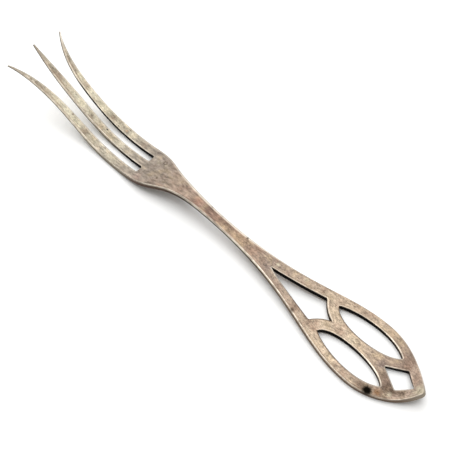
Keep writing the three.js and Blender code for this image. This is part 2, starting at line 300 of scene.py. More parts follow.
# Painted highlight: how strong the light line along the left outer edges is, by station
LIT_LINE_HIGHLIGHT = (
    (0.0, 0.4), (12.0, 0.4), (24.0, 0.65), (38.0, 0.6),
    (50.0, 1.0), (72.0, 0.8), (84.0, 0.65), (89.0, 0.25),
    (97.0, 0.2), (106.0, 0.8), (118.0, 0.7), (133.0, 0.25),
)
LIT_LINE_WIDTH = ((0.0, 0.24), (38.0, 0.26), (52.0, 0.29), (72.0, 0.29), (84.0, 0.25), (133.0, 0.25))
# Painted reflection: how strong the pale line along the right-facing edges is, by station
PAINTED_REFLECTION = (
    (0.0, 0.5), (12.0, 0.4), (22.0, 0.0), (38.0, 0.0),
    (44.0, 0.5), (50.0, 0.9), (76.0, 0.9), (88.0, 0.5),
    (120.0, 0.4), (133.0, 0.2),
)
REFLECTION_WIDTH = ((0.0, 0.3), (48.0, 0.4), (57.0, 0.72), (72.0, 0.75), (80.0, 0.55), (133.0, 0.35))
# Painted glint beside the openings, by station
GLEAM = ((0.0, 0.05), (6.0, 0.1), (9.0, 0.4), (12.5, 0.9), (15.0, 0.9), (19.0, 0.4), (133.0, 0.3))
WALL_START = (
    (0.0, 0.15), (46.0, 0.2), (56.0, 0.44), (72.0, 0.44),
    (82.0, 0.2), (100.0, 0.3), (108.0, 0.6), (133.0, 0.5),
)
# Colours of the outer walls
OUTER_WALLS = (
    (0.0, (0.45, 0.40, 0.32)),
    (4.0, (0.22, 0.16, 0.12)),
    (44.0, (0.20, 0.15, 0.11)),
    (55.0, (0.035, 0.028, 0.022)),
    (72.0, (0.035, 0.028, 0.022)),
    (80.0, (0.13, 0.09, 0.07)),
    (88.0, (0.15, 0.105, 0.085)),
    (93.0, (0.28, 0.24, 0.19)),
    (106.0, (0.30, 0.26, 0.205)),
    (113.0, (0.15, 0.13, 0.105)),
    (133.0, (0.08, 0.07, 0.055)),
)
# How light the whole top face is, by station: partly the metal's tone, partly painted light and shade for
# how each bend meets the light, darker over the shoulder and lighter on the tines
TONE_AND_PAINTED_LIGHT = (
    (0.0, 0.8),
    (5.0, 0.92),
    (10.0, 1.13),
    (20.0, 1.06),
    (30.0, 1.12),
    (54.0, 1.06),
    (64.0, 0.97),
    (70.0, 0.95),
    (76.0, 0.78),
    (92.0, 0.74),
    (97.5, 0.79),
    (102.0, 1.02),
    (112.0, 1.09),
    (118.0, 1.22),
    (133.0, 1.32),
)

# Noise: scale per millimetre, detail, roughness and, where it swings a value, how far
CLOUDS = (0.35, 5.0, 0.6)
PATCHES = (1.0, 4.0, 0.6)
GRAIN = (3.0, 3.0, 0.6)
STREAKS = (0.6, 2.0, 0.6)
SCRATCHES = (1.0, 3.0, 0.6)
BREAKS = (0.7, 3.0)
RAGGED_EDGES = (1.6, 4.0, 0.65)
RAGGED_SWING = 1.3
PATCH_SWING = 1.0
GRAIN_SWING = 2.0
STREAK_SWING = 1.3

# Ranges of the masks: from, to and, where they aren't 0 and 1, the two strengths
PINK_CLOUDS = (0.5, 0.66, 0.0, 0.6)
PINK_BY_STATION = (92.0, 80.0, 0.3, 1.0)
GOLD_CLOUDS = (0.5, 0.34, 0.0, 0.45)
SPECKS = (0.36, 0.28, 0.0, 0.5)
LIT_SIDE = (0.05, 0.4)
FAR_SIDE = (-0.05, -0.4)
BROKEN_LINES = (0.4, 0.6, 0.5, 1.0)
BESIDE_OPENINGS = (0.42, 0.12)
HANDLE_END = (52.0, 46.0, 0.0, 0.9)
BROWN_LINE_EDGE = (0.8, 0.45)
# Where the painted highlight line lies, in shares of its width from the edge
LIT_LINE_EDGE = (1.1, 0.75)
REFLECTION_LINE = (1.05, 0.75)
OPENING_WALLS = (0.3, 0.7)
# Painted light: the dark wall colour starts 0.03 mm below the top, and 0.33 mm below it on sawn walls that
# face forward
LIT_WALL_TOP = (0.0, 0.7, 0.03, 0.33)
WALL_BLUR = (0.0, 0.12)
PAST_THE_ROUNDING = (0.3, 0.8)
OFF_THE_BOTTOM = (-0.3, -0.1)
# Painted shade: sawn walls are near black, mixed halfway to the outer walls' colour where they face forward
WALL_SHADE_BY_FACING = (0.8, 0.0, 0.5, 1.0)

# How coarse the tarnish is: from broad clouds alone to fine grain
BROADEST = 1.9
BROAD_LOSS = 1.35
STREAK_WIDTH = 4.0

# The finish
PIT_RAGGEDNESS = 0.6
PIT_RING_STRENGTH = 0.75
PIT_FLOOR_EDGE = (0.7, 1.1)
STAIN_RAGGEDNESS = 0.35
PATCH_STRETCH = (0.5, 1.4, 1.0)
GRAIN_STRETCH = (0.6, 1.4, 1.0)
SCRATCH_STRETCH = (0.35, 9.0, 9.0)
ROUGHNESS = 0.54
PATCH_ROUGHNESS = -0.5
# The metal under the painted highlight line is a little smoother
LIT_LINE_SMOOTHNESS = 0.1
WALL_ROUGHNESS = 0.75
GRAIN_RELIEF = 0.6
PIT_RELIEF = 1.5
RELIEF_STRENGTH = 0.5
RELIEF_HEIGHT = 0.00003

# The ground
TABLE_HALF_SIZE = 1.5
TABLE_COLOUR = (0.93, 0.93, 0.92, 1.0)
TABLE_ROUGHNESS = 0.9
TABLE_SHINE = 0.1

# The room: how bright it is, and the directions in which it is brighter or dimmer
ROOM_BRIGHTNESS = 0.42
ROOM_PATCHES = (
    ((0.45, -0.80, 0.5), 60.0, 0.6),
    ((0.0, 1.0, 0.1), 60.0, -0.15),
)
LIGHTS = (
    ("Overhead light", (0.36, -0.13, 0.90), (1.15, 1.15), 11.6),
)

# The photograph's camera, in metres and degrees
CAMERA_PLACE = (-0.05077, 0.090475, 0.172878)
CAMERA_AIM = (-0.001857, -0.002223, 0.0001)
CAMERA_ROLL = 15.58
CAMERA_LENS = 64.6
SENSOR_WIDTH = 36.0


def bezier(*controls, points=CURVE_POINTS):
    """Points of a Bezier curve with three or four control points."""
    share = np.linspace(0.0, 1.0, points)[:, None]
    level = [np.asarray(control, float)[None, :].repeat(points, axis=0) for control in controls]
    while len(level) > 1:
        level = [near * (1.0 - share) + far * share for near, far in zip(level, level[1:])]
    return level[0]


def pulled(start, pull, angle=0.0):
    """The place that lies a pull from start in a direction given in degrees."""
    turn = math.radians(angle)
    return (start[0] + pull * math.cos(turn), start[1] + pull * math.sin(turn))


def chained(*runs):
    """Curves that follow each other, as one run of points."""
    return np.vstack([run[:-1] for run in runs[:-1]] + [runs[-1]])


def mirrored(run):
    """The run on the other side of the centre line, walked the other way."""
    return (run * [1.0, -1.0])[::-1]


def lengths_along(run):
    """How far along the run each of its points lies."""
    return np.r_[0.0, np.cumsum(np.hypot(*np.diff(run, axis=0).T))]


def cut_back(run, start_cut, end_cut, step):
    """The run without its two ends, in even steps."""
    reach = lengths_along(run)
    left = reach[-1] - start_cut - end_cut
    at = np.linspace(start_cut, reach[-1] - end_cut, max(2, round(left / step)) + 1)
    return np.column_stack([np.interp(at, reach, run[:, 0]), np.interp(at, reach, run[:, 1])])


def closed_loop(sides, cuts, step=LOOP_STEP):
    """Sides joined end to end into a loop whose corners are filed round.
    cuts gives how far the file went back from the start corner of each side."""
    points = []
    for index, side in enumerate(sides):
        following = (index + 1) % len(sides)
        straight = cut_back(side, cuts[index], cuts[following], step)
        ahead = cut_back(sides[following], cuts[following], cuts[(index + 2) % len(sides)], step)
        corner = bezier(straight[-1], side[-1], ahead[0], points=CORNER_STEPS + 1)
        points.extend([straight[:-1], corner[:-1]])
    return np.vstack(points)


def bowed(start, end, bow):
    """A side that swells by bow towards greater offsets at its middle."""
    share = np.linspace(0.0, 1.0, CURVE_POINTS)[:, None]
    line = np.asarray(start) * (1.0 - share) + np.asarray(end) * share
    line[:, 1] += (4.0 * share * (1.0 - share))[:, 0] * bow
    return line


def leaned(points):
    """The small sideways set of the point and of the tines, as bent by hand."""
    station, offset = points[:, 0], points[:, 1]
    point_share = np.clip(1.0 - station / POINT_LEAN_REACH, 0.0, 1.0)
    tine_share = np.clip((station - SLOT_ROOT) / LEAN_REACH, 0.0, None)
    lean = np.where(offset > BETWEEN_TINES, LEFT_TINE_LEAN, MIDDLE_TINE_LEAN)
    lean = np.where(offset < -BETWEEN_TINES, RIGHT_TINE_LEAN, lean)
    moved = offset + POINT_LEAN * point_share ** 2 + lean * tine_share ** 2
    return np.column_stack([station, moved])


def outline():
    """The outside of the blank, with its slots."""
    brow = bezier(
        (0.0, 0.0),
        pulled((0.0, 0.0), BROW_PULLS[0], POINT_ANGLE),
        pulled(WIDEST, -BROW_PULLS[1]),
        WIDEST,
    )
    flank = bezier(WIDEST, pulled(WIDEST, FLANK_PULLS[0]), pulled(NECK, -FLANK_PULLS[1]), NECK)
    swell = bezier(NECK, pulled(NECK, SWELL_PULLS[0]), pulled(SHOULDER, -SWELL_PULLS[1]), SHOULDER)
    cheek = bezier(SHOULDER, pulled(SHOULDER, CHEEK_PULLS[0]), pulled(WAIST, -CHEEK_PULLS[1]), WAIST)
    sweep = bezier(
        WAIST,
        pulled(WAIST, SWEEP_PULLS[0]),
        pulled(OUTER_TIP, -SWEEP_PULLS[1], SWEEP_ANGLE),
        OUTER_TIP,
    )
    outside = chained(brow, flank, swell, cheek, sweep)

    straight_end = OUTER_TINE_STRAIGHT_END
    slot_outer_corner = (SLOT_ROOT, OUTER_SLOT_SIDE)
    inner_sweep = bezier(
        OUTER_TIP,
        pulled(OUTER_TIP, -INNER_SWEEP_PULLS[1], INNER_SWEEP_ANGLE),
        pulled(straight_end, INNER_SWEEP_PULLS[0]),
        straight_end,
    )
    inside = chained(inner_sweep, bezier(straight_end, slot_outer_corner))
    slot_inner_corner = (SLOT_ROOT, MIDDLE_SLOT_SIDE)
    root = bezier(slot_outer_corner, slot_inner_corner)
    taper = bezier(
        MIDDLE_TINE_STRAIGHT_END,
        pulled(MIDDLE_TINE_STRAIGHT_END, MIDDLE_TAPER_PULLS[0]),
        pulled(MIDDLE_TIP, -MIDDLE_TAPER_PULLS[1], -MIDDLE_TAPER_ANGLE),
        MIDDLE_TIP,
    )
    middle = chained(bezier(slot_inner_corner, MIDDLE_TINE_STRAIGHT_END), taper)

    half = [outside, inside, root, middle]
    sides = half + [mirrored(side) for side in reversed(half)]
    cuts = [POINT_CUT, OUTER_TIP_CUT, SLOT_CORNER_CUT, SLOT_CORNER_CUT]
    cuts += [MIDDLE_TIP_CUT, SLOT_CORNER_CUT, SLOT_CORNER_CUT, OUTER_TIP_CUT]
    return closed_loop(sides, cuts)


def diamond():
    """The small diamond by the handle's point."""
    tip, stem = (DIAMOND_TIP_CORNER, 0.0), (DIAMOND_STEM_CORNER, 0.0)
    front = bezier(tip, DIAMOND_SIDE_CORNER)
    back = bezier(DIAMOND_SIDE_CORNER, stem)
    return closed_loop([front, back, mirrored(back), mirrored(front)], [DIAMOND_CUT] * 4)


def left_oval():
    """The pointed oval on the left."""
    outer_side = bezier(OVAL_TIP_END, *OVAL_OUTER_PULLS, OVAL_STEM_END)
    inner_side = bezier(OVAL_TIP_END, *OVAL_INNER_PULLS, OVAL_STEM_END)[::-1]
    return closed_loop([outer_side, inner_side], [OVAL_CUT, OVAL_CUT])


def kite():
    """The kite, whose lower sides follow the band round the ovals. The saw slipped near its apex."""
    foot = np.array([KITE_FOOT, 0.0])
    corner = np.array(KITE_SIDE_CORNER)
    along = (corner - foot) / np.hypot(*(corner - foot))
    inwards = np.array([along[1], -along[0]])
    band = bezier(foot, (foot + corner) / 2 + inwards * KITE_BAND_BOW * 2, corner)
    left = bowed(corner, KITE_NICK, KITE_LEFT_BOW)
    slip = bezier(KITE_NICK, KITE_APEX)
    right = bowed(KITE_APEX, corner * [1.0, -1.0], KITE_RIGHT_BOW)
    sides = [band, left, slip, right, mirrored(band)]
    cuts = [KITE_FOOT_CUT, KITE_SIDE_CUT, KITE_NICK_CUT, KITE_APEX_CUT, KITE_SIDE_CUT]
    return closed_loop(sides, cuts)


def signed_area(loop):
    """Positive for a loop that runs anticlockwise."""
    following = np.roll(loop, -1, axis=0)
    return 0.5 * float(np.sum(loop[:, 0] * following[:, 1] - following[:, 0] * loop[:, 1]))


def metal_normals(loop):
    """Unit directions into the metal, which lies to the left of the loop."""
    along = np.roll(loop, -1, axis=0) - np.roll(loop, 1, axis=0)
    along /= np.hypot(along[:, 0], along[:, 1])[:, None]
    return np.column_stack([-along[:, 1], along[:, 0]])


def room_inside(loop, normals, others):
    """For each point, the radius of the largest circle in the metal that touches the edge there."""
    room = np.empty(len(loop))
    for index, (place, normal) in enumerate(zip(loop, normals)):
        towards = others - place
        depth = towards @ normal
        ahead = depth > STRAIGHT_AHEAD
        room[index] = np.min((towards[ahead] ** 2).sum(axis=1) / (2.0 * depth[ahead]))
    return room


def eased_edge(loop, metal, opening):
    """The rings that run over a rounded edge, from the bottom face round the wall to the top face."""
    normals = metal_normals(loop)
    wanted = EDGE_EASE + STEM_EXTRA_EASE * np.exp(-(((loop[:, 0] - NECK[0]) / STEM_EASE_SPREAD) ** 2))
    wanted = wanted * (1.0 - opening) + SAWN_EDGE_EASE * opening
    ease = np.minimum(wanted, room_inside(loop, normals, metal) * ROOM_SHARE)
    rings = []
    for step in range(EASE_STEPS + 1):
        turn = math.pi / 2 * step / EASE_STEPS
        inset = loop + normals * (ease * (1.0 - math.sin(turn)))[:, None]
        height = -SHOULDER_THICKNESS / 2 + ease * (1.0 - math.cos(turn))
        rings.append(np.column_stack([inset, height]))
    rings += [ring * [1.0, 1.0, -1.0] for ring in reversed(rings)]
    stations, *ways = zip(*SAW_LEAN)
    lean = np.column_stack([np.interp(loop[:, 0], stations, way) * opening for way in ways])
    for ring in rings:
        ring[:, :2] += lean * (0.5 - ring[:, 2] / SHOULDER_THICKNESS)[:, None]
    return rings


def slot_walls(loop):
    """One on the dark walls of the two slots, fading out along the free tines."""
    station, offset = loop[:, 0], loop[:, 1]
    beside = np.interp(np.abs(offset), [OUTER_SLOT_SIDE + reach for reach in SLOT_WALL_REACH], [1.0, 0.0])
    before = SLOT_ROOT - SLOT_ROOT_FADE
    left, right = (
        np.interp(station, [before, SLOT_ROOT, *fade], [0.0, 1.0, 1.0, 0.0])
        for fade in (LEFT_SLOT_FADE, RIGHT_SLOT_FADE)
    )
    return beside * np.where(offset > -BETWEEN_TINES, left, right)


def flat_blank():
    """The pierced blank with rounded edges, as a closed mesh about its middle plane."""
    outside = leaned(outline())
    left = left_oval()
    openings = [leaned(diamond()), left, mirrored(left), kite()]
    loops = [outside if signed_area(outside) > 0 else outside[::-1]]
    loops += [loop if signed_area(loop) < 0 else loop[::-1] for loop in openings]
    metal = np.vstack(loops)

    places, faces, rims, turns, sawn, outward = [], [], [], [], [], []
    cap_loops = []
    count = 0
    for loop_index, loop in enumerate(loops):
        size = len(loop)
        opening = np.ones(size) if loop_index else slot_walls(loop)
        rings = eased_edge(loop, metal, opening)
        away = np.column_stack([-metal_normals(loop), np.zeros(size)])
        for level, ring in enumerate(rings):
            turned = min(level, len(rings) - 1 - level) / EASE_STEPS
            turns.append(np.full(size, turned))
            places.append(ring)
            rims.append(np.hypot(*(ring[:, :2] - loop).T))
            sawn.append(opening)
            outward.append(away)
        for level in range(len(rings) - 1):
            low, high = count + level * size, count + (level + 1) * size
            for index in range(size):
                ahead = (index + 1) % size
                faces.append((low + index, low + ahead, high + ahead, high + index))
        cap_loops.append((count, count + (len(rings) - 1) * size, size, rings[0][:, :2]))
        count += size * len(rings)

    edge_points = np.vstack([ring for *_, ring in cap_loops])
    grid = inner_grid(edge_points, loops, metal)
    flat = np.vstack([edge_points, grid])
    edges = []
    first = 0
    for *_, size, ring in cap_loops:
        edges += [(first + i, first + (i + 1) % size) for i in range(size)]
        first += size
    corners = [Vector(point) for point in flat]
    found, _, triangles, source, _, _ = delaunay_2d_cdt(corners, edges, [], 0, MERGE_DISTANCE)
    back = [origin[0] for origin in source]
    middles = np.array([[sum(found[c][axis] for c in t) / 3 for axis in (0, 1)] for t in triangles])
    in_metal = inside_loops(middles, [ring for *_, ring in cap_loops])
    triangles = [[back[c] for c in t] for t, keep in zip(triangles, in_metal) if keep]

    bottom_ids = np.concatenate([low + np.arange(size) for low, _, size, _ in cap_loops])
    top_ids = np.concatenate([high + np.arange(size) for _, high, size, _ in cap_loops])
    half = SHOULDER_THICKNESS / 2
    for height, ids in ((-half, bottom_ids), (half, top_ids)):
        places.append(np.column_stack([grid, np.full(len(grid), height)]))
        rims.append(np.sqrt(((grid[:, None, :] - metal[None, :, :]) ** 2).sum(axis=2)).min(axis=1))
        sawn.append(np.zeros(len(grid)))
        turns.append(np.zeros(len(grid)))
        outward.append(np.zeros((len(grid), 3)))
        whole = np.concatenate([ids, count + np.arange(len(grid))])
        count += len(grid)
        for triangle in triangles:
            corners = [int(whole[c]) for c in triangle]
            faces.append(tuple(corners if height > 0 else reversed(corners)))
    shades = [np.concatenate(values) for values in (rims, turns, sawn, outward)]
    return np.vstack(places), faces, *shades


def inside_loops(points, loops):
    """Whether each point lies in the metal, by the loops that a line from it crosses."""
    inside = np.zeros(len(points), bool)
    for loop in loops:
        following = np.roll(loop, -1, axis=0)
        for (x0, y0), (x1, y1) in zip(loop, following):
            if y0 == y1:
                continue
            spans = (y0 > points[:, 1]) != (y1 > points[:, 1])
            crossing = x0 + (points[:, 1] - y0) * (x1 - x0) / (y1 - y0)
            inside ^= spans & (points[:, 0] < crossing)
    return inside


def inner_grid(edge_points, loops, metal):
    """Points of a staggered grid inside the metal, clear of the edges."""
    stations = np.arange(0.0, MIDDLE_TIP[0], GRID_STEP)
    offsets = np.arange(-WIDEST[1] - 1, WIDEST[1] + 1, GRID_STEP * GRID_ROW_SHARE)
    station, offset = np.meshgrid(stations, offsets)
    station = station + (np.arange(len(offsets)) % 2)[:, None] * GRID_STEP / 2
    grid = np.column_stack([station.ravel(), offset.ravel()])
    grid = grid[inside_loops(grid, loops)]
    gap = np.concatenate([
        np.sqrt(((part[:, None, :] - edge_points[None, :, :]) ** 2).sum(axis=2)).min(axis=1)
        for part in np.array_split(grid, GRID_BATCHES)
    ])
    return grid[gap > GRID_STEP * GRID_EDGE_SHARE]


def add(tree, kind, inputs=None, **settings):
    """A new node with its settings, and its inputs either linked or set."""
    made = tree.nodes.new(kind)
    for name, value in settings.items():
        setattr(made, name, value)
    for key, value in (inputs or {}).items():
        if isinstance(value, bpy.types.NodeSocket):
            tree.links.new(value, made.inputs[key])
        else:
            made.inputs[key].default_value = value
    return made


def maths(tree, operation, *values, clamp=False):
    """The output of one Math node."""
    made = add(tree, "ShaderNodeMath", dict(enumerate(values)), operation=operation, use_clamp=clamp)
    return made.outputs[0]


def ramped(tree, value, start, end, low=0.0, high=1.0, kind="LINEAR"):
    """The value carried from one range to another."""
    settings = {"Value": value, "From Min": start, "From Max": end, "To Min": low, "To Max": high}
    return add(tree, "ShaderNodeMapRange", settings, interpolation_type=kind).outputs["Result"]


def sockets(tree, inputs, outputs):
    """Names a group's inputs and outputs and returns its two end nodes."""
    for name, (kind, value) in inputs.items():
        made = tree.interface.new_socket(name, in_out="INPUT", socket_type="NodeSocket" + kind)
        if value is not None:
            made.default_value = value
    for name, kind in outputs.items():
        tree.interface.new_socket(name, in_out="OUTPUT", socket_type="NodeSocket" + kind)
    return tree.nodes.new("NodeGroupInput"), tree.nodes.new("NodeGroupOutput")


def bend_inputs():
    """The named inputs that give the side line its bends."""
    inputs = {"Point slope": ("Float", POINT_SLOPE)}
    for name, (start, length, turn) in BENDS.items():
        inputs[name + " start"] = ("Float", start)
        inputs[name + " length"] = ("Float", length)
        inputs[name + " turn"] = ("Float", turn)
    return inputs


def slope_group():
    """The slope of the side line at a station, in radians, as the sum of its smooth bends."""
    tree = bpy.data.node_groups.new("Slope of the side line", "GeometryNodeTree")
    given, out = sockets(tree, {"Station": ("Float", 0.0), **bend_inputs()}, {"Slope": "Float"})
    slope = given.outputs["Point slope"]
    for name in BENDS:
        start = given.outputs[name + " start"]
        end = maths(tree, "ADD", start, given.outputs[name + " length"])
        turn = given.outputs[name + " turn"]
        part = ramped(tree, given.outputs["Station"], start, end, 0.0, turn, "SMOOTHSTEP")
        slope = maths(tree, "ADD", slope, part)
    tree.links.new(maths(tree, "RADIANS", slope), out.inputs["Slope"])
    return tree


def bending_tree(material):
    """Thins the flat blank's tines, bends it along its side line and gives it its finish."""
    slope_at = slope_group()
    tree = bpy.data.node_groups.new("Bent fork", "GeometryNodeTree")
    named = {
        "Geometry": ("Geometry", None),
        **bend_inputs(),
        "Blank length": ("Float", MIDDLE_TIP[0]),
        "Handle thickness": ("Float", HANDLE_THICKNESS),
        "Shoulder thickness": ("Float", SHOULDER_THICKNESS),
        "Tine tip thickness": ("Float", TINE_TIP_THICKNESS),
        "Neck station": ("Float", NECK[0]),
        "Slot root station": ("Float", SLOT_ROOT),
        "Handle point": ("Float", HANDLE_POINT_X),
        "Unevenness": ("Float", UNEVENNESS),
        "Unevenness scale": ("Float", UNEVENNESS_SCALE),
        "Unit": ("Float", MM),
        "Material": ("Material", None),
    }
    given, out = sockets(tree, named, {"Geometry": "Geometry"})

    def slope(station):
        bends = {name: given.outputs[name] for name in bend_inputs()}
        group = add(tree, "GeometryNodeGroup", node_tree=slope_at)
        for name, value in {"Station": station, **bends}.items():
            tree.links.new(value, group.inputs[name])
        return group.outputs["Slope"]

    # The side line as a row of points, each reached from the one before by a short straight step
    step = maths(tree, "DIVIDE", given.outputs["Blank length"], SIDE_LINE_POINTS - 1.0)
    index = add(tree, "GeometryNodeInputIndex").outputs[0]
    step_slope = slope(maths(tree, "MULTIPLY", maths(tree, "ADD", index, 0.5), step))
    reached = []
    for direction in ("COSINE", "SINE"):
        part = maths(tree, "MULTIPLY", maths(tree, direction, step_slope), step)
        summed = add(tree, "GeometryNodeAccumulateField", {0: part}, data_type="FLOAT")
        reached.append(summed.outputs["Trailing"])
    row = add(tree, "GeometryNodeMeshLine", {"Count": SIDE_LINE_POINTS})
    across = add(tree, "ShaderNodeCombineXYZ", {"X": reached[0], "Z": reached[1]})
    line = add(tree, "GeometryNodeSetPosition", {"Geometry": row.outputs[0], "Position": across.outputs[0]})

    blank = add(tree, "GeometryNodeInputNamedAttribute", {"Name": "blank"}, data_type="FLOAT_VECTOR")
    parts = add(tree, "ShaderNodeSeparateXYZ", {0: blank.outputs[0]})
    station, offset, height = parts.outputs

    taken = maths(tree, "DIVIDE", station, step)
    before = maths(tree, "FLOOR", taken)
    share = maths(tree, "SUBTRACT", taken, before)
    position = add(tree, "GeometryNodeInputPosition").outputs[0]
    ends = []
    for at in (before, maths(tree, "ADD", before, 1.0)):
        sampled = {"Geometry": line.outputs[0], "Value": position, "Index": at}
        made = add(tree, "GeometryNodeSampleIndex", sampled, data_type="FLOAT_VECTOR", clamp=True)
        ends.append(made.outputs[0])
    place = add(tree, "ShaderNodeMix", {"Factor": share, 4: ends[0], 5: ends[1]}, data_type="VECTOR")
    middle = add(tree, "ShaderNodeSeparateXYZ", {0: place.outputs[1]}).outputs

    neck, root = given.outputs["Neck station"], given.outputs["Slot root station"]
    thin, full = given.outputs["Handle thickness"], given.outputs["Shoulder thickness"]
    handle = ramped(tree, station, neck, root, thin, full)
    tip = given.outputs["Tine tip thickness"]
    whole_loss = maths(tree, "SUBTRACT", full, tip)
    loss = ramped(tree, station, root, given.outputs["Blank length"], 0.0, whole_loss)
    thickness = maths(tree, "SUBTRACT", handle, loss)
    rise = maths(tree, "MULTIPLY", height, maths(tree, "DIVIDE", thickness, full))
    uneven = add(
        tree,
        "ShaderNodeTexNoise",
        {"Vector": blank.outputs[0], "Scale": given.outputs["Unevenness scale"], "Detail": 1.0},
    )
    swing = maths(tree, "SUBTRACT", uneven.outputs[0], 0.5)
    rise = maths(tree, "ADD", rise, maths(tree, "MULTIPLY", swing, given.outputs["Unevenness"]))

    turn = slope(station)
    back = maths(tree, "MULTIPLY", rise, maths(tree, "SINE", turn))
    up = maths(tree, "MULTIPLY", rise, maths(tree, "COSINE", turn))
    along = maths(tree, "ADD", maths(tree, "SUBTRACT", middle[0], back), given.outputs["Handle point"])
    raised = maths(tree, "ADD", middle[2], up)
    bent = add(tree, "ShaderNodeCombineXYZ", {"X": along, "Y": offset, "Z": raised})
    scaled = add(tree, "ShaderNodeVectorMath", {0: bent.outputs[0]}, operation="SCALE")
    tree.links.new(given.outputs["Unit"], scaled.inputs["Scale"])
    shaped = add(
        tree,
        "GeometryNodeSetPosition",
        {"Geometry": given.outputs["Geometry"], "Position": scaled.outputs[0]},
    )
    real = add(tree, "GeometryNodeRealizeInstances", {0: shaped.outputs[0]})
    finished = add(
        tree,
        "GeometryNodeSetMaterial",
        {"Geometry": real.outputs[0], "Material": given.outputs["Material"]},
    )
    tree.links.new(finished.outputs[0], out.inputs[0])
    return tree


def bent_fork(material):
    """The blank as a mesh, bent by the tree, set down on the table and made a plain mesh."""
    places, faces, rims, turns, sawn, outward = flat_blank()
    mesh = bpy.data.meshes.new("Flat blank")
    mesh.from_pydata((places * MM).tolist(), [], faces)
    for name, kind, values in (
        ("blank", "FLOAT_VECTOR", places),
        ("rim", "FLOAT", rims),
        ("turn", "FLOAT", turns),
        ("sawn", "FLOAT", sawn),
        ("outward", "FLOAT_VECTOR", outward),
    ):
        layer = mesh.attributes.new(name, kind, "POINT")
        layer.data.foreach_set("vector" if kind == "FLOAT_VECTOR" else "value", values.ravel().tolist())
    mesh.polygons.foreach_set("use_smooth", [True] * len(mesh.polygons))
    worked = bpy.data.objects.new("Bent blank", mesh)
    bpy.context.collection.objects.link(worked)

    tree = bending_tree(material)
    modifier = worked.modifiers.new("Bending", "NODES")
    modifier.node_group = tree
    for item in tree.interface.items_tree:
        if item.in_out == "INPUT" and item.name == "Material":
            modifier[item.identifier] = material
    seen = worked.evaluated_get(bpy.context.evaluated_depsgraph_get())
    final = bpy.data.meshes.new_from_object(seen)
    worked.modifiers.remove(modifier)
    bpy.data.objects.remove(worked)
    final.name = "Fork"

    coordinates = np.empty(len(final.vertices) * 3)
    final.vertices.foreach_get("co", coordinates)
    coordinates = coordinates.reshape(-1, 3)
    coordinates[:, 2] -= coordinates[:, 2].min()
    final.vertices.foreach_set("co", coordinates.ravel())
    final.update()
    fork = bpy.data.objects.new("Fork", final)
    bpy.context.collection.objects.link(fork)
    return fork


def mark_group():
    """A round mark whose edge is broken up by a ragged field."""
    tree = bpy.data.node_groups.new("Mark on the metal", "ShaderNodeTree")
    named = {
        "Place": ("Vector", None),
        "Ragged": ("Float", 0.0),
        "Centre": ("Vector", (0.0, 0.0, 0.0)),
        "Radius": ("Float", 1.0),
        "Softness": ("Float", 0.5),
        "Strength": ("Float", 1.0),
    }
    given, out = sockets(tree, named, {"Mask": "Float"})
    place, radius = given.outputs["Place"], given.outputs["Radius"]
    away = add(tree, "ShaderNodeVectorMath", {0: place, 1: given.outputs["Centre"]}, operation="DISTANCE")
    share = maths(tree, "DIVIDE", away.outputs["Value"], radius)
    broken = maths(tree, "MULTIPLY", given.outputs["Ragged"], maths(tree, "MINIMUM", radius, 1.0))
    reach = maths(tree, "ADD", share, broken)
    inner = maths(tree, "SUBTRACT", 1.0, given.outputs["Softness"])
    mask = ramped(tree, reach, inner, 1.0, 1.0, 0.0, "SMOOTHSTEP")
    tree.links.new(maths(tree, "MULTIPLY", mask, given.outputs["Strength"]), out.inputs["Mask"])
    return tree


def pit_group():
    """A small pit in the metal: a dark ring round a lighter floor."""
    tree = bpy.data.node_groups.new("Pit in the metal", "ShaderNodeTree")
    named = {
        "Place": ("Vector", None),
        "Ragged": ("Float", 0.0),
        "Centre": ("Vector", (0.0, 0.0, 0.0)),
        "Radius": ("Float", 0.5),
        "Width": ("Float", 0.5),
    }
    given, out = sockets(tree, named, {"Ring": "Float", "Depth": "Float"})
    away = add(
        tree,
        "ShaderNodeVectorMath",
        {0: given.outputs["Place"], 1: given.outputs["Centre"]},
        operation="DISTANCE",
    )
    share = maths(tree, "DIVIDE", away.outputs["Value"], given.outputs["Radius"])
    reach = maths(tree, "ADD", share, given.outputs["Ragged"])
    off = maths(tree, "ABSOLUTE", maths(tree, "SUBTRACT", reach, 1.0))
    ring = ramped(tree, off, 0.0, given.outputs["Width"], 1.0, 0.0, "SMOOTHSTEP")
    tree.links.new(ring, out.inputs["Ring"])
    depth = ramped(tree, reach, *PIT_FLOOR_EDGE, 1.0, 0.0, "SMOOTHSTEP")
    tree.links.new(depth, out.inputs["Depth"])
    return tree


def placed(tree, group, values):
    """A shader group put into the material with its own values."""
    return add(tree, "ShaderNodeGroup", values, node_tree=group)


def blended(tree, factor, first, second):
    """The colour that lies between two colours."""
    made = add(tree, "ShaderNodeMix", {0: factor}, data_type="RGBA", clamp_factor=True)
    for socket, value in ((6, first), (7, second)):
        if isinstance(value, bpy.types.NodeSocket):
            tree.links.new(value, made.inputs[socket])
        else:
            made.inputs[socket].default_value = (*value, 1.0)
    return made.outputs[2]


def scaled_by(tree, colour, amount):
    """The colour made lighter or darker by an amount."""
    made = add(tree, "ShaderNodeVectorMath", {0: colour}, operation="SCALE")
    tree.links.new(amount, made.inputs["Scale"])
    return made.outputs[0]


def stretched(tree, place, stretch):
    """The place with its three directions stretched, for streaks."""
    return add(tree, "ShaderNodeVectorMath", {0: place, 1: stretch}, operation="MULTIPLY").outputs[0]


def noised(tree, place, scale, detail=4.0, roughness=0.55):
    """Cloudy noise of a scale per millimetre."""
    inputs = {"Vector": place, "Scale": scale, "Detail": detail, "Roughness": roughness}
    return add(tree, "ShaderNodeTexNoise", inputs).outputs[0]


def swing(tree, value, amount):
    """How far a noise stands from its middle, times an amount."""
    return maths(tree, "MULTIPLY", maths(tree, "SUBTRACT", value, 0.5), amount)


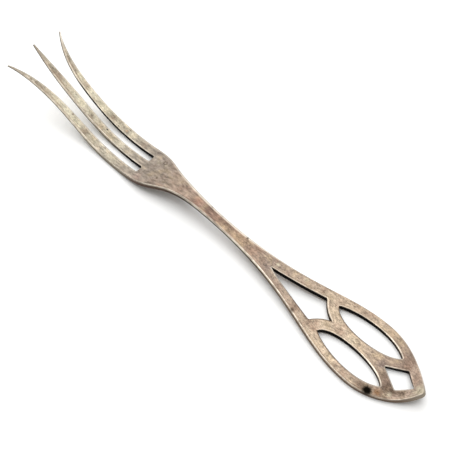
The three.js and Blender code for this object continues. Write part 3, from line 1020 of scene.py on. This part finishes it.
def by_station(tree, station, stops):
    """A colour or a value that changes from stop to stop along the fork."""
    last = stops[-1][0]
    made = add(tree, "ShaderNodeValToRGB", {0: ramped(tree, station, 0.0, last)})
    ramp = made.color_ramp.elements
    while len(ramp) < len(stops):
        ramp.new(0.5)
    for stop, (at, tint) in zip(ramp, stops):
        stop.position = at / last
        stop.color = (*tint, 1.0) if isinstance(tint, tuple) else (tint, tint, tint, 1.0)
    return made.outputs[0]


def times(tree, *values):
    """The product of several values."""
    product = values[0]
    for value in values[1:]:
        product = maths(tree, "MULTIPLY", product, value)
    return product


def marked(tree, colour, mark, place, ragged, marks):
    """The colour with a list of marks laid over it."""
    for at, across, radius, softness, tint, strength in marks:
        centre = (at, across, SHOULDER_THICKNESS / 2)
        values = {"Place": place, "Ragged": ragged, "Centre": centre, "Radius": radius}
        mask = placed(tree, mark, {**values, "Softness": softness, "Strength": strength})
        colour = blended(tree, mask.outputs["Mask"], colour, tint)
    return colour


def face_tones(tree, place, ragged, mark, station, height, rim):
    """The tarnished face: tints along the fork, clouds, marks, pits, grain and rubbed streaks."""
    colour = by_station(tree, station, FINISH_ALONG)
    clouds = noised(tree, place, *CLOUDS)
    towards_handle = ramped(tree, station, *PINK_BY_STATION)
    pink = times(tree, ramped(tree, clouds, *PINK_CLOUDS), towards_handle)
    colour = blended(tree, pink, colour, PINK_BROWN)
    colour = blended(tree, ramped(tree, clouds, *GOLD_CLOUDS), colour, GOLD)

    colour = marked(tree, colour, mark, place, ragged, MARKS)
    pit = pit_group()
    pitted = 0.0
    softer = maths(tree, "MULTIPLY", ragged, PIT_RAGGEDNESS)
    for at, across, radius in PITS:
        centre = (at, across, SHOULDER_THICKNESS / 2)
        values = {"Place": place, "Ragged": softer, "Centre": centre}
        mask = placed(tree, pit, {**values, "Radius": radius})
        ring = maths(tree, "MULTIPLY", mask.outputs["Ring"], PIT_RING_STRENGTH)
        colour = blended(tree, ring, colour, DARK_BROWN)
        pitted = maths(tree, "ADD", pitted, mask.outputs["Depth"])

    patches = noised(tree, stretched(tree, place, PATCH_STRETCH), *PATCHES)
    grain = noised(tree, stretched(tree, place, GRAIN_STRETCH), *GRAIN)
    across = maths(tree, "MULTIPLY", rim, STREAK_WIDTH)
    rubbed = add(tree, "ShaderNodeCombineXYZ", {0: station, 1: across, 2: height})
    streaks = noised(tree, rubbed.outputs[0], *STREAKS)
    fine = by_station(tree, station, GRAININESS)
    coarse = maths(tree, "SUBTRACT", BROADEST, times(tree, fine, BROAD_LOSS))
    broad = times(tree, swing(tree, patches, PATCH_SWING), coarse)
    grainy = times(tree, swing(tree, grain, GRAIN_SWING), fine)
    uneven = maths(tree, "ADD", broad, grainy)
    uneven = maths(tree, "ADD", uneven, times(tree, swing(tree, streaks, STREAK_SWING), fine))
    light = maths(tree, "ADD", 1.0, times(tree, uneven, by_station(tree, station, LIVELINESS)))
    toned = scaled_by(tree, colour, light)
    specks = times(tree, ramped(tree, grain, *SPECKS), fine)
    colour = blended(tree, specks, toned, DARK_BROWN)
    return colour, patches, grain, pitted


def edge_tones(tree, colour, place, station, rim, opening, side):
    """The lines beside the edges: a dark brown line by the openings' right-facing edges near the handle, a
    painted glint by their left-facing edges, a brown line and a painted highlight along the left outer
    edges, and a painted reflection along the right-facing edges.
    """
    outer = maths(tree, "SUBTRACT", 1.0, opening)
    lit = ramped(tree, side, *LIT_SIDE)
    far = ramped(tree, side, *FAR_SIDE)
    broken = ramped(tree, noised(tree, place, *BREAKS), *BROKEN_LINES)
    beside = ramped(tree, rim, *BESIDE_OPENINGS)
    handle = ramped(tree, station, *HANDLE_END)
    colour = blended(tree, times(tree, beside, opening, far, handle), colour, DARK_BROWN)
    # Painted glint on the openings' left-facing edges
    gleam = times(tree, beside, opening, lit, broken, by_station(tree, station, GLEAM))
    colour = blended(tree, gleam, colour, HIGHLIGHT_SILVER)
    # A brown line just inside the left outer edges
    line = ramped(tree, rim, *BROWN_LINE_EDGE)
    colour = blended(tree, times(tree, line, outer, lit, by_station(tree, station, BROWN_LINE_STRENGTH)), colour, BROWN)
    # Painted highlight along the left outer edges
    near = maths(tree, "DIVIDE", rim, by_station(tree, station, LIT_LINE_WIDTH))
    lit_line = times(tree, ramped(tree, near, *LIT_LINE_EDGE), outer, lit, by_station(tree, station, LIT_LINE_HIGHLIGHT), broken)
    colour = blended(tree, lit_line, colour, HIGHLIGHT_SILVER)
    # Painted reflection along the right-facing edges
    reach = maths(tree, "DIVIDE", rim, by_station(tree, station, REFLECTION_WIDTH))
    pale = times(tree, ramped(tree, reach, *REFLECTION_LINE), far, by_station(tree, station, PAINTED_REFLECTION))
    return blended(tree, pale, colour, REFLECTION_SILVER), lit_line


def wall_mask(tree, station, height, turn, opening, ahead):
    """One on the walls below the rounded edge, and nothing on the two faces."""
    drop = maths(tree, "SUBTRACT", SHOULDER_THICKNESS / 2, height)
    outer_start = by_station(tree, station, WALL_START)
    # Sawn walls that face forward keep a lighter top: painted light
    sawn_start = ramped(tree, ahead, *LIT_WALL_TOP)
    start = add(tree, "ShaderNodeMix", {0: opening, 2: outer_start, 3: sawn_start}).outputs[0]
    below = ramped(tree, maths(tree, "SUBTRACT", drop, start), *WALL_BLUR)
    rounded = ramped(tree, turn, *PAST_THE_ROUNDING)
    upper = maths(tree, "MAXIMUM", rounded, ramped(tree, height, *OFF_THE_BOTTOM))
    return times(tree, below, upper)


def tarnished_silver():
    """Old silver: warm tarnish in clouds, painted highlights and reflections along the rims, cut walls
    darkened with painted shade, spots and fine scratches.
    """
    material = bpy.data.materials.new("Tarnished silver")
    material.use_nodes = True
    tree = material.node_tree
    shader = tree.nodes["Principled BSDF"]

    read = {
        name: add(tree, "ShaderNodeAttribute", attribute_name=name).outputs
        for name in ("blank", "outward", "rim", "turn", "sawn")
    }
    place, outward = (read[name]["Vector"] for name in ("blank", "outward"))
    rim, turn, sawn = (read[name]["Fac"] for name in ("rim", "turn", "sawn"))
    station, _, height = add(tree, "ShaderNodeSeparateXYZ", {0: place}).outputs
    ahead, side, _ = add(tree, "ShaderNodeSeparateXYZ", {0: outward}).outputs
    opening = ramped(tree, sawn, *OPENING_WALLS)

    mark = mark_group()
    ragged = swing(tree, noised(tree, place, *RAGGED_EDGES), RAGGED_SWING)
    colour, patches, grain, pitted = face_tones(tree, place, ragged, mark, station, height, rim)
    colour, lit_line = edge_tones(tree, colour, place, station, rim, opening, side)
    # The tone of the metal along the fork, with painted light and shade
    colour = scaled_by(tree, colour, by_station(tree, station, TONE_AND_PAINTED_LIGHT))
    wall = wall_mask(tree, station, height, turn, opening, ahead)
    # Sawn walls take near-black painted shade, less where they face forward
    painted_wall_shade = times(tree, sawn, ramped(tree, ahead, *WALL_SHADE_BY_FACING))
    dark = blended(tree, painted_wall_shade, by_station(tree, station, OUTER_WALLS), SAWN_WALL_TARNISH_AND_SHADE)
    colour = blended(tree, wall, colour, dark)
    less_ragged = maths(tree, "MULTIPLY", ragged, STAIN_RAGGEDNESS)
    colour = marked(tree, colour, mark, place, less_ragged, STAINS)
    tree.links.new(colour, shader.inputs["Base Color"])

    shader.inputs["Metallic"].default_value = 1.0
    rough = maths(tree, "ADD", ROUGHNESS, swing(tree, patches, PATCH_ROUGHNESS))
    rough = maths(tree, "SUBTRACT", rough, maths(tree, "MULTIPLY", lit_line, LIT_LINE_SMOOTHNESS))
    rough = maths(tree, "MAXIMUM", rough, maths(tree, "MULTIPLY", wall, WALL_ROUGHNESS))
    tree.links.new(rough, shader.inputs["Roughness"])

    scratches = noised(tree, stretched(tree, place, SCRATCH_STRETCH), *SCRATCHES)
    relief = maths(tree, "ADD", scratches, maths(tree, "MULTIPLY", grain, GRAIN_RELIEF))
    relief = maths(tree, "SUBTRACT", relief, maths(tree, "MULTIPLY", pitted, PIT_RELIEF))
    settings = {"Height": relief, "Strength": RELIEF_STRENGTH, "Distance": RELIEF_HEIGHT}
    bump = add(tree, "ShaderNodeBump", settings)
    tree.links.new(bump.outputs[0], shader.inputs["Normal"])
    return material


def white_table():
    """The plain white ground."""
    mesh = bpy.data.meshes.new("Table")
    half = TABLE_HALF_SIZE
    corners = [(-half, -half, 0.0), (half, -half, 0.0), (half, half, 0.0), (-half, half, 0.0)]
    mesh.from_pydata(corners, [], [(0, 1, 2, 3)])
    table = bpy.data.objects.new("Table", mesh)
    bpy.context.collection.objects.link(table)
    material = bpy.data.materials.new("White ground")
    material.use_nodes = True
    shader = material.node_tree.nodes["Principled BSDF"]
    shader.inputs["Base Color"].default_value = TABLE_COLOUR
    shader.inputs["Roughness"].default_value = TABLE_ROUGHNESS
    shader.inputs["Specular IOR Level"].default_value = TABLE_SHINE
    mesh.materials.append(material)
    return table


def soft_light(name, place, size, power):
    """A square soft light aimed at the middle of the fork."""
    data = bpy.data.lights.new(name, "AREA")
    data.shape = "RECTANGLE"
    data.size, data.size_y = size
    data.energy = power
    light = bpy.data.objects.new(name, data)
    light.location = place
    light.rotation_euler = (-Vector(place)).to_track_quat("-Z", "Y").to_euler()
    bpy.context.collection.objects.link(light)


def studio():
    """A white room, brighter on one side and dimmer on another, with a soft light overhead."""
    world = bpy.data.worlds.new("Studio")
    world.use_nodes = True
    tree = world.node_tree
    direction = add(tree, "ShaderNodeTexCoord").outputs["Generated"]
    bright = ROOM_BRIGHTNESS
    for aim, reach, change in ROOM_PATCHES:
        aim = Vector(aim).normalized()
        facing = add(tree, "ShaderNodeVectorMath", {0: direction, 1: aim}, operation="DOT_PRODUCT")
        edge = math.cos(math.radians(reach))
        patch = ramped(tree, facing.outputs["Value"], edge, 1.0, 0.0, change, "SMOOTHSTEP")
        bright = maths(tree, "ADD", bright, patch)
    back = tree.nodes["Background"]
    back.inputs["Color"].default_value = (1.0, 1.0, 1.0, 1.0)
    tree.links.new(bright, back.inputs["Strength"])
    bpy.context.scene.world = world
    for name, place, size, power in LIGHTS:
        soft_light(name, place, size, power)


def photograph_camera():
    """The camera at the photograph's place, looking the same way."""
    data = bpy.data.cameras.new("Camera")
    data.sensor_width = SENSOR_WIDTH
    data.lens = CAMERA_LENS
    data.clip_start = 0.01
    camera = bpy.data.objects.new("Camera", data)
    camera.location = CAMERA_PLACE
    look = (Vector(CAMERA_AIM) - Vector(CAMERA_PLACE)).to_track_quat("-Z", "Y")
    camera.rotation_euler = (look @ Euler((0.0, 0.0, math.radians(CAMERA_ROLL))).to_quaternion()).to_euler()
    bpy.context.collection.objects.link(camera)
    bpy.context.scene.camera = camera


fork = bent_fork(tarnished_silver())
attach(fork, "root")
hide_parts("fork")

table = white_table()
studio()
photograph_camera()
bpy.context.scene.view_settings.view_transform = "Standard"
